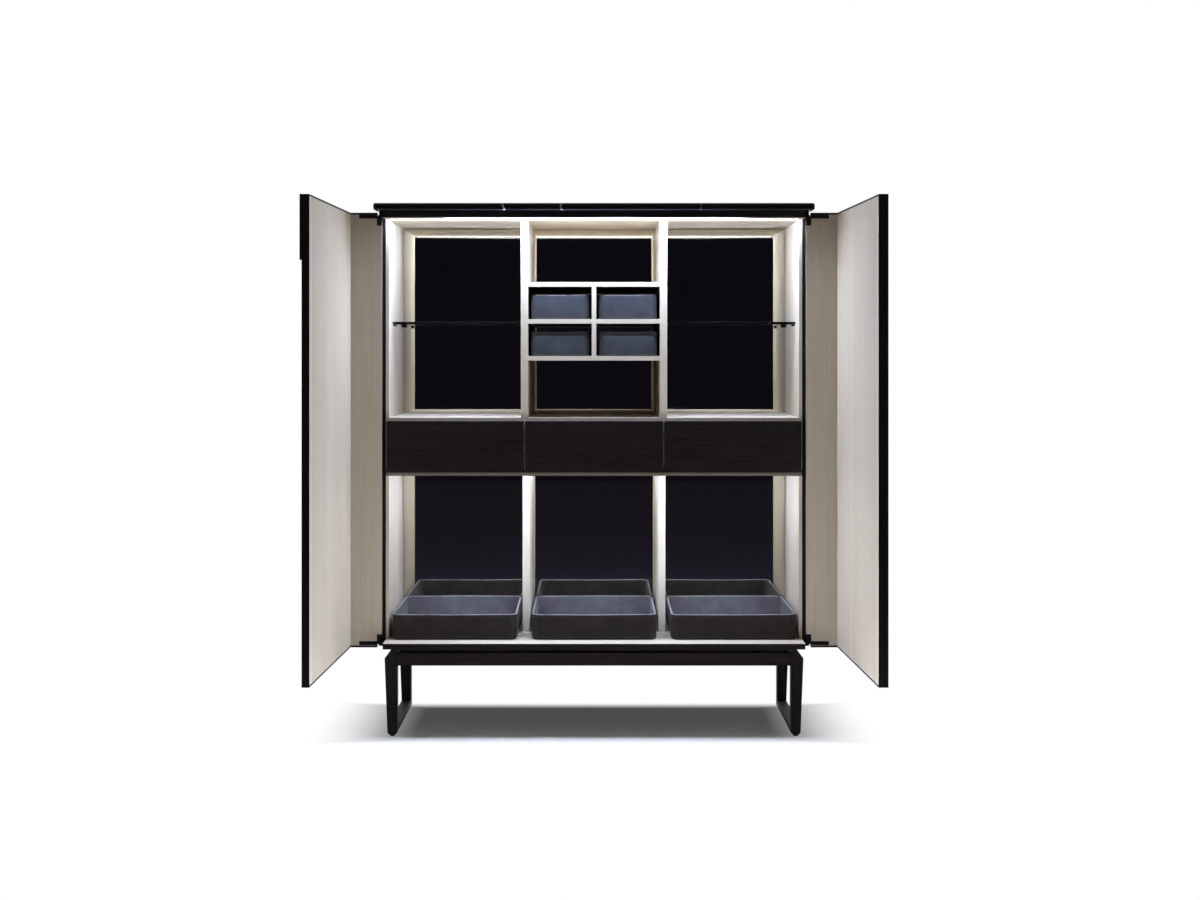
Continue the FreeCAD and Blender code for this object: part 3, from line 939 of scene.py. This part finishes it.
@dataclass(frozen=True)
class LineLight:
    """The lamps of one kind along a light line, in watts, degrees and metres.

    The tilt turns a lamp from facing down towards the back, and the beam is how far its light spreads. The
    lamp lies ahead of the diffuser, and lower by the drop. The lamps cover a share of the line in three
    lengths, one for each bay: the middle one can be dimmed, and fill is the share of a length that is lit.
    """

    name: str
    power: float
    tilt: float
    beam: float = 180.0
    ahead: float = 0.0
    drop: float = 0.004
    share: float = 1.0
    over_middle: float = 1.0
    fill: float = 1.0

    def lengths(self) -> tuple[tuple[str, float, float, float], ...]:
        """Three equal lengths, the middle one dimmed where shelves stand close under it.

        Returns:
            For each length its name, its middle and its length as shares of the line, and its watts.
        """
        third = self.share / 3
        lit = third * self.fill
        watts = self.power / 3
        return (("_left", -third, lit, watts), ("_middle", 0.0, lit, watts * self.over_middle),
                ("_right", third, lit, watts))


@dataclass
class LightLines(DressedAssembly):
    """The two light profiles, their tapes and diffusers, and the driver with its inlet."""

    lamp_width: float = 0.008
    lamp_colour: Colour = (0.77, 0.955, 1.34)
    upper: tuple[LineLight, ...] = (
        LineLight("beam", 3.4, 28.0, 150.0, over_middle=0.3),
        LineLight("down_beam", 0.7, 18.0, 60.0, over_middle=0.1),
        LineLight("wash", 5.2, 85.0, over_middle=0.3),
        LineLight("mirror_light", 1.3, -62.0, 150.0, -0.35, 0.03, 0.95, 0.2),
        LineLight("spill", 6.4, -2.0, 180.0, 0.058, 0.020, 0.72, 0.9),
        LineLight("door_light", 5.0, -85.0, 180.0, 0.058, 0.020, 0.72))
    lower: tuple[LineLight, ...] = (
        LineLight("beam", 2.8, 56.0, 165.0, fill=0.55),
        LineLight("down_beam", 2.4, 28.0, 50.0, fill=0.5),
        LineLight("wash", 1.0, 85.0, fill=0.55),
        LineLight("mirror_light", 1.6, -50.0, 150.0, -0.35, 0.03, 0.95),
        LineLight("spill", 0.3, -10.0, 180.0, 0.058, 0.032, 0.72),
        LineLight("door_light", 1.7, -60.0, 180.0, 0.058, 0.032, 0.72))

    def build(self) -> None:
        """Dresses the lighting pieces and hangs the lamps of each diffuser."""
        look = self.palette
        self.hang_lamps()
        self.dress({"led_profiles": look.profile_metal, "led_tapes": look.light_tape,
                    "led_diffusers": look.opal, "led_driver": look.case_plastic,
                    "cable_inlet": look.rubber})

    def hang_lamps(self) -> None:
        """Finds each diffuser from the upper and lower halves of its node and lights its line."""
        mesh = self.nodes["led_diffusers"].data
        points = np.empty(len(mesh.vertices) * 3)
        mesh.vertices.foreach_get("co", points)
        points = points.reshape(-1, 3)
        middle = points[:, 2].mean()
        lines = (("upper", self.upper, points[points[:, 2] > middle]),
                 ("lower", self.lower, points[points[:, 2] < middle]))
        for name, lights, part in lines:
            low, high = part.min(axis=0), part.max(axis=0)
            place = np.array((0.0, (low[1] + high[1]) / 2, low[2]))
            span = float(high[0] - low[0])
            for light in lights:
                for part_name, along, share, watts in light.lengths():
                    spot = place + np.array((along * span, 0.0, 0.0))
                    lamp_name = f"{name}_light_{light.name}{part_name}"
                    self.line_lamp(lamp_name, light, spot, share * span, watts)

    def line_lamp(self, name: str, light: LineLight, place: np.ndarray, length: float,
                  watts: float) -> None:
        """A long narrow lamp across the cabinet.

        Args:
            name: the lamp's name.
            light: its turn, beam and place under the diffuser.
            place: the point of the diffuser's underside above the lamp's middle.
            length: the lamp's length along X.
            watts: its power.
        """
        lamp = area_lamp(name, (length, self.lamp_width), watts, self.lamp_colour)
        lamp.data.spread = math.radians(light.beam)
        lamp.location = place - np.array((0.0, light.ahead, light.drop))
        lamp.rotation_euler = (math.radians(light.tilt), 0.0, 0.0)
        lamp.visible_transmission = False
        LOG.info("%s: %.1f W", name, watts)


class Drawers(DressedAssembly):
    """Three drawers and their slide bars."""

    def build(self) -> None:
        """Dresses fronts, boxes and bars."""
        look = self.palette
        self.dress({"drawer_slide_bars": look.pin_steel})
        for place in ("left", "middle", "right"):
            self.dress({place + "_drawer_front": look.dark_across, place + "_drawer_box": look.pale_across})


@dataclass(frozen=True)
class ScrewSizes:
    """Sizes of the small socket screws in the hinge straps, in metres.

    The head's profile runs from the socket's floor over the rim to the seat. Its radii are shares of the
    socket's radius, and the rim's heights are shares of how far the head stands proud.
    """

    socket_radius: float = 0.0012
    socket_depth: float = 0.0009
    proud: float = 0.0005
    seat_depth: float = 0.0012
    around: int = 24
    place_shares: tuple[float, ...] = (0.22, 0.55, 0.88)
    radius_shares: tuple[float, ...] = (0.05, 1.0, 1.0, 1.15, 1.9, 2.25, 2.33, 2.33)
    rim_height_shares: tuple[float, ...] = (0.9, 1.0, 1.0, 0.6, 0.0)


@dataclass
class Doors(DressedAssembly):
    """Two L-shaped doors with linings, pulls, hinge leaves and the screws in their straps."""

    screws: ScrewSizes = ScrewSizes()
    strap_face_depth: float = 0.016
    strap_start: float = 0.0065
    strap_length: float = 0.051
    strap_half_height: float = 0.0058

    def build(self, joints: list[dict]) -> None:
        """Dresses both doors and sets the screws.

        Args:
            joints: the frame's joints, for the hinge axes.
        """
        look = self.palette
        axes = {joint["name"]: joint for joint in joints}
        for side in Side:
            name = side.name.lower()
            low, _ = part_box(name + "_door_lining")
            lining = DOOR_LINING.build(look.effects, name + "_lining", float(low[1]))
            pull = "_door_handle" if side is Side.LEFT else "_door_pull_strip"
            # The returns' linings take the pale veneer darkened as painted shade.
            self.dress({name + "_door_front": look.dark_upright, name + "_door_return": look.dark_upright,
                        name + "_door_lining": lining, name + "_door_return_lining": look.return_veneer,
                        name + pull: look.dark_upright, name + "_door_hinge_leaves": look.black_metal})
            self.set_screws(side, axes[name + "_door_hinge"])
        self.dress({"hinge_plates": look.black_metal, "hinge_pins": look.pin_steel})

    def set_screws(self, side: Side, hinge: dict) -> None:
        """Adds the screw heads of one door's straps.

        A head is a profile turned about the strap's normal: a dished socket, a flat ring and a round edge.

        Args:
            side: which door.
            hinge: that door's joint.
        """
        sizes = self.screws
        turn = math.radians(-hinge["range_deg"][0])
        pivot = np.array(hinge["pos_m"])
        mirror = np.array((side.value, 1.0, 1.0))
        outward = np.array((-math.cos(turn), -math.sin(turn), 0.0)) * mirror
        along = np.array((math.sin(turn), -math.cos(turn), 0.0)) * mirror
        low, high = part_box(side.name.lower() + "_door_hinge_leaves")
        levels = (low[2] + self.strap_half_height, high[2] - self.strap_half_height)
        reach = self.strap_start + np.array(sizes.place_shares) * self.strap_length
        centres = np.array([pivot + outward * self.strap_face_depth + along * step
                            + np.array((0.0, 0.0, level - pivot[2])) for level in levels for step in reach])
        radius = np.array(sizes.radius_shares) * sizes.socket_radius
        socket_floor = np.full(2, sizes.proud - sizes.socket_depth)
        rim = np.array(sizes.rim_height_shares) * sizes.proud
        height = np.concatenate((socket_floor, rim, [-sizes.seat_depth]))
        angle = np.linspace(0.0, 2.0 * math.pi, sizes.around, endpoint=False)
        flat = np.cos(angle)[:, None] * along + np.sin(angle)[:, None] * np.array((0.0, 0.0, 1.0))
        grid = radius[:, None, None] * flat + height[:, None, None] * outward
        heads = closed_shells(side.name.lower() + "_strap_screws", centres[:, None, None, :] + grid)
        paint(heads, self.palette.black_metal)
        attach(heads, side.name.lower() + "_door")
        LOG.info("%s: %d heads", heads.name, len(centres))


@dataclass
class LeatherTray:
    """An open leather tray or box: a soft-edged shell and a row of stitches under its rim.

    The shell is a wall profile carried round a rounded rectangle. The rectangle is a spine of straight
    runs with corner centres, and a unit normal that turns only at the corners, so that a point of the
    profile at inset d lies at spine + (corner radius - d) times normal.
    """

    node: str
    corner_radius: float
    wall: float
    base_radius: float
    swell: float = 0.0008
    rim_share: float = 0.26
    inner_base_share: float = 0.9
    inner_swell_share: float = 0.6
    floor_edge_share: float = 1.6
    wave_height: float = 0.0005
    slow_wave: Span = (3, 0.6)
    quick_wave: Span = (7, 1.9)
    quick_wave_share: float = 0.6
    rim_sink: float = 0.0008
    stitch_drop: float = 0.0085
    stitch_pitch: float = 0.0068
    stitch_length: float = 0.0046
    stitch_radius: float = 0.0005
    stitch_lift_share: float = 0.55
    stitch_step_shares: tuple[float, ...] = (-0.5, -0.36, 0.0, 0.36, 0.5)
    stitch_girth_shares: tuple[float, ...] = (0.35, 0.9, 1.0, 0.9, 0.35)
    stitch_sides: int = 6
    corner_steps: int = 12
    run_steps: int = 24
    base_steps: int = 7
    rim_steps: int = 11
    wall_steps: int = 9

    def build(self, leather: bpy.types.Material, thread: bpy.types.Material) -> None:
        """Makes the shell and its stitches in place of the node.

        Args:
            leather: the shell's material.
            thread: the stitches' material.
        """
        low, high = (np.array(corner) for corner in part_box(self.node))
        spine, normal = self.outline(low, high)
        shell = closed_shells(self.node + "_shell", self.shell_grid(low, high, spine, normal)[None])
        _, level = self.profile(high[2] - low[2])
        # The lining mask marks the inside faces, whose tone on the trays is painted light, and the rim mask
        # the top edge, which takes a painted highlight.
        masks = {"lining": np.arange(len(level)) > np.argmax(level),
                 "rim": level > level.max() - self.wall * self.rim_share}
        for name, mask in masks.items():
            values = np.repeat(mask.astype(np.float32), len(spine))
            shell.data.attributes.new(name, "FLOAT", "POINT").data.foreach_set("value", values)
        paint(shell, leather)
        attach(shell, self.node)
        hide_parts(self.node)
        stitches = self.stitches(high[2] - self.stitch_drop, spine, normal)
        paint(stitches, thread)
        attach(stitches, self.node)
        LOG.info("%s: %d faces", shell.name, len(shell.data.polygons))

    def outline(self, low: np.ndarray, high: np.ndarray) -> tuple[np.ndarray, np.ndarray]:
        """The spine and the normal round the tray, run by run and corner by corner.

        Args:
            low: lowest corner of the node.
            high: highest corner of the node.

        Returns:
            Spine points and unit normals, both N by 2.
        """
        middle = (low[:2] + high[:2]) / 2
        half = (high[:2] - low[:2]) / 2 - self.corner_radius
        corners = np.array(((1, -1), (1, 1), (-1, 1), (-1, -1))) * half
        starts = np.radians((-90.0, 0.0, 90.0, 180.0))
        turn = np.linspace(0.0, math.pi / 2, self.corner_steps)
        share = np.linspace(0.0, 1.0, self.run_steps + 1)[1:-1, None]
        spine = []
        normal = []
        for corner, after, start in zip(corners, np.roll(corners, -1, axis=0), starts):
            angle = start + turn
            facing = np.stack((np.cos(angle), np.sin(angle)), axis=1)
            run = corner + share * (after - corner)
            spine += [np.repeat(corner[None, :], self.corner_steps, axis=0), run]
            normal += [facing, np.repeat(facing[-1:], len(share), axis=0)]
        return np.concatenate(spine) + middle, np.concatenate(normal)

    def profile(self, height: float) -> tuple[np.ndarray, np.ndarray]:
        """The wall's section as insets and heights, from the middle of the base round to the tray's floor.

        Args:
            height: the tray's height.

        Returns:
            Insets from the outside and heights above the base.
        """
        quarter = np.linspace(0.0, math.pi / 2, self.base_steps)
        half_turn = np.linspace(0.0, math.pi, self.rim_steps)
        climb = np.linspace(0.0, 1.0, self.wall_steps)[1:-1]
        wall, base, rim = self.wall, self.base_radius, self.wall / 2
        inner_base = base * self.inner_base_share
        outside = base + climb * (height - rim - base)
        inside = height - rim - climb * (height - rim - wall - inner_base)
        bulge = self.swell * np.sin(climb * math.pi)
        inset = np.concatenate(([base + wall], base - base * np.sin(quarter), -bulge,
                                rim - rim * np.cos(half_turn), wall + bulge * self.inner_swell_share,
                                wall + inner_base * (1 - np.cos(quarter)),
                                [wall + inner_base * self.floor_edge_share]))
        level = np.concatenate(([0.0], base - base * np.cos(quarter), outside,
                                height - rim + rim * np.sin(half_turn), inside,
                                wall + inner_base * (1 - np.sin(quarter)), [wall]))
        return inset, level

    def shell_grid(self, low: np.ndarray, high: np.ndarray, spine: np.ndarray,
                   normal: np.ndarray) -> np.ndarray:
        """The shell's points, profile by outline, with a slow hand-made wave along the rim.

        The wave is a slow sine and a smaller quick one, each with its number of turns round the tray and
        its phase. It and the rim's sink grow with the cube of the height, so that the base stays flat.

        Args:
            low: lowest corner of the node.
            high: highest corner of the node.
            spine: points of the outline's spine.
            normal: unit normals of the outline.

        Returns:
            Rings by points by 3 array.
        """
        inset, level = self.profile(high[2] - low[2])
        reach = (self.corner_radius - inset)[:, None, None]
        flat = spine[None, :, :] + reach * normal[None, :, :]
        turn = np.linspace(0.0, 2.0 * math.pi, len(spine), endpoint=False)
        slow, quick = (np.sin(turns * turn + phase) for turns, phase in (self.slow_wave, self.quick_wave))
        wave = self.wave_height * (slow + self.quick_wave_share * quick)
        risen = (level[:, None] / (high[2] - low[2])) ** 3
        lift = low[2] + level[:, None] + risen * (wave - self.rim_sink)
        return np.concatenate((flat, lift[:, :, None]), axis=2)

    def stitches(self, level: float, spine: np.ndarray, normal: np.ndarray) -> bpy.types.Object:
        """A row of short threads round the outside, each a thin tube with tapered ends.

        Args:
            level: height of the row.
            spine: points of the outline's spine.
            normal: unit normals of the outline.

        Returns:
            The stitches as one object.
        """
        edge = spine + self.corner_radius * normal
        closed = np.concatenate((edge, edge[:1]))
        travelled = np.concatenate(([0.0], np.cumsum(np.linalg.norm(np.diff(closed, axis=0), axis=1))))
        count = int(travelled[-1] / self.stitch_pitch)
        at = (np.arange(count) + 0.5) * travelled[-1] / count
        ends = [np.stack([np.interp(at + shift, travelled, closed[:, axis]) for axis in (0, 1)], axis=1)
                for shift in (-self.stitch_length / 2, self.stitch_length / 2)]
        along = (ends[1] - ends[0]) / np.linalg.norm(ends[1] - ends[0], axis=1)[:, None]
        centre = (ends[0] + ends[1]) / 2
        out = np.stack((along[:, 1], -along[:, 0]), axis=1)
        step = np.array(self.stitch_step_shares) * self.stitch_length
        girth = np.array(self.stitch_girth_shares) * self.stitch_radius
        angle = np.linspace(0.0, 2.0 * math.pi, self.stitch_sides, endpoint=False)
        sideways = girth[:, None] * np.cos(angle) + self.swell * self.stitch_lift_share
        upward = girth[:, None] * np.sin(angle)
        flat = (centre[:, None, None, :] + step[None, :, None, None] * along[:, None, None, :]
                + sideways[None, :, :, None] * out[:, None, None, :])
        lift = np.broadcast_to(level + upward, flat.shape[:3])
        return closed_shells(self.node + "_stitches", np.concatenate((flat, lift[..., None]), axis=3))


def seen_directly(sketch: NodeSketch) -> Socket:
    """A mask of the rays that show a surface: camera, mirror and glass rays.

    Args:
        sketch: the material's or world's sketch.

    Returns:
        1 for those rays and 0 for light that only falls on things.
    """
    light_path = sketch.add("ShaderNodeLightPath")
    seen = light_path.outputs["Is Camera Ray"]
    for name in ("Is Glossy Ray", "Is Transmission Ray"):
        seen = sketch.math("MAXIMUM", seen, light_path.outputs[name])
    return seen


@dataclass(frozen=True)
class StudioLamp:
    """A lamp of the studio: its place, the point that it faces, its size, watts and colour."""

    name: str
    place: Point
    target: Point
    size: Span
    power: float
    colour: Colour = (1.0, 1.0, 1.0)

    def hang(self) -> None:
        """Makes the lamp and turns it from facing down to facing its target."""
        lamp = area_lamp(self.name, self.size, self.power, self.colour)
        lamp.location = self.place
        gaze = np.array(self.target) - np.array(self.place)
        lean = math.acos(-gaze[2] / float(np.linalg.norm(gaze)))
        lamp.rotation_euler = (lean, 0.0, math.atan2(-gaze[0], gaze[1]))


@dataclass(frozen=True)
class Flag:
    """A dark rectangle between two corners. Only reflections see it, so the mirrors show a dark room."""

    name: str
    low: Point
    high: Point
    colour: Colour

    def stand(self) -> None:
        """Makes the flag, with two edges along X, hidden from the camera, from diffuse light and from
        shadows.
        """
        corners = np.array((self.low, (self.high[0], *self.low[1:]),
                            self.high, (self.low[0], *self.high[1:])))
        flag = mesh_object(self.name, corners, [[0, 1, 2, 3]], smooth=False)
        finish = Finish(self.name)
        finish.set(Base_Color=opaque(self.colour), Roughness=1.0, Specular_IOR_Level=0.0)
        paint(flag, finish.material)
        flag.visible_camera = False
        flag.visible_diffuse = False
        flag.visible_shadow = False


@dataclass(frozen=True)
class Studio:
    """Floor, light and camera, in metres and watts."""

    camera_place: Point = (0.0, -5.125, 1.096)
    lens: float = 51.93
    sensor: float = 36.0
    shift: Span = (0.005, -0.0825)
    floor_reach: float = 40.0
    floor_colour: Colour = (0.61, 0.59, 0.565)
    shadow_wide: Span = (0.46, 0.82)
    shadow_front: Span = (0.21, 0.30)
    shadow_back: Span = (0.17, 0.28)
    shadow_lift: float = 0.05
    ambient: float = 0.09
    lamps: tuple[StudioLamp, ...] = (
        StudioLamp("overhead_softbox", (0.0, -0.32, 2.7), (0.0, -0.3, 0.0), (0.9, 0.4), 3.4),
        StudioLamp("floor_bounce", (0.0, -0.85, 0.015), (0.0, -0.8, 2.0), (1.6, 0.6), 9.5,
                   (0.94, 1.0, 1.07)))
    flags: tuple[Flag, ...] = (
        Flag("front_flag", (-14.0, -9.0, 0.0), (14.0, -9.0, 12.0), (0.065, 0.058, 0.105)),
        Flag("floor_flag", (-5.0, -9.0, 0.002), (5.0, -0.26, 0.002), (0.13, 0.12, 0.195)))

    def build(self) -> None:
        """Sets the camera, the floor, the world and the lamps."""
        scene = bpy.context.scene
        scene.view_settings.view_transform = "Standard"
        self.camera(scene)
        self.floor()
        self.world(scene)
        for lamp in self.lamps:
            lamp.hang()
        for flag in self.flags:
            flag.stand()

    def camera(self, scene: bpy.types.Scene) -> None:
        """A level camera at the photograph's viewpoint.

        Args:
            scene: the scene that gets it.
        """
        data = bpy.data.cameras.new("camera")
        data.lens = self.lens
        data.sensor_width = self.sensor
        data.sensor_fit = "HORIZONTAL"
        data.shift_x, data.shift_y = self.shift
        camera = bpy.data.objects.new("camera", data)
        camera.location = self.camera_place
        camera.rotation_euler = (math.pi / 2, 0.0, 0.0)
        scene.collection.objects.link(camera)
        scene.camera = camera

    def floor(self) -> None:
        """A pale floor with the cabinet's shadow, which turns plain white away from it.

        The share of white is the largest of three smooth steps, to the sides, to the front and to the back,
        and never less than the shadow's lift: a little painted light over the real shadow under the
        cabinet.
        """
        reach = self.floor_reach
        corners = np.array(((-reach, -reach, 0), (reach, -reach, 0), (reach, reach, 0), (-reach, reach, 0)))
        floor = mesh_object("floor", corners, [[0, 1, 2, 3]], smooth=False)
        finish = Finish("pale_floor")
        sketch = finish.sketch
        finish.set(Base_Color=opaque(self.floor_colour), Roughness=0.9, Specular_IOR_Level=0.0)
        parts = sketch.split(sketch.place())
        sideways = sketch.spread(sketch.math("ABSOLUTE", parts["X"]), *self.shadow_wide)
        forward = sketch.spread(sketch.math("MULTIPLY", parts["Y"], -1.0), *self.shadow_front)
        backward = sketch.spread(parts["Y"], *self.shadow_back)
        beyond = sketch.math("MAXIMUM", sideways, sketch.math("MAXIMUM", forward, backward))
        # A floor of white share paints a little light into the shadow under the cabinet.
        away = sketch.math("MAXIMUM", beyond, self.shadow_lift)
        white = sketch.add("ShaderNodeEmission")
        mix = sketch.add("ShaderNodeMixShader")
        sketch.feed(mix.inputs[0], sketch.math("MULTIPLY", away, seen_directly(sketch)))
        sketch.feed(mix.inputs[1], finish.shader.outputs[0])
        sketch.feed(mix.inputs[2], white.outputs[0])
        sketch.feed(finish.output.inputs["Surface"], mix.outputs[0])
        paint(floor, finish.material)

    def world(self, scene: bpy.types.Scene) -> None:
        """White where the camera, reflections and glass see it, and a soft grey light elsewhere.

        Args:
            scene: the scene that gets it.
        """
        world = bpy.data.worlds.new("studio")
        world.use_nodes = True
        scene.world = world
        sketch = NodeSketch(world.node_tree)
        world.node_tree.nodes.clear()
        seen = seen_directly(sketch)
        background = sketch.add("ShaderNodeBackground")
        background.inputs["Color"].default_value = (1.0, 1.0, 1.0, 1.0)
        rest = sketch.math("MULTIPLY", sketch.math("SUBTRACT", 1.0, seen), self.ambient)
        sketch.feed(background.inputs["Strength"], sketch.math("ADD", seen, rest))
        output = sketch.add("ShaderNodeOutputWorld")
        sketch.feed(output.inputs["Surface"], background.outputs[0])


def main() -> None:
    """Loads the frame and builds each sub-assembly."""
    logging.basicConfig(level=logging.INFO, format="%(name)s %(message)s")
    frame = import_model()
    palette = Palette()
    nodes = frame["nodes"]
    Carcass(nodes, palette).build()
    Stand(nodes, palette).build()
    LightLines(nodes, palette).build()
    Drawers(nodes, palette).build()
    Doors(nodes, palette).build(frame["joints"])
    for place in ("left", "middle", "right"):
        tray = LeatherTray(place + "_tray", corner_radius=0.025, wall=0.006, base_radius=0.007)
        tray.build(palette.tray_leather, palette.thread)
    for level in ("lower", "upper"):
        for side in Side:
            name = f"{level}_{side.name.lower()}_box"
            box = LeatherTray(name, corner_radius=0.014, wall=0.005, base_radius=0.005)
            box.build(palette.box_leather, palette.thread)
    Studio().build()


if __name__ == "__main__":
    main()
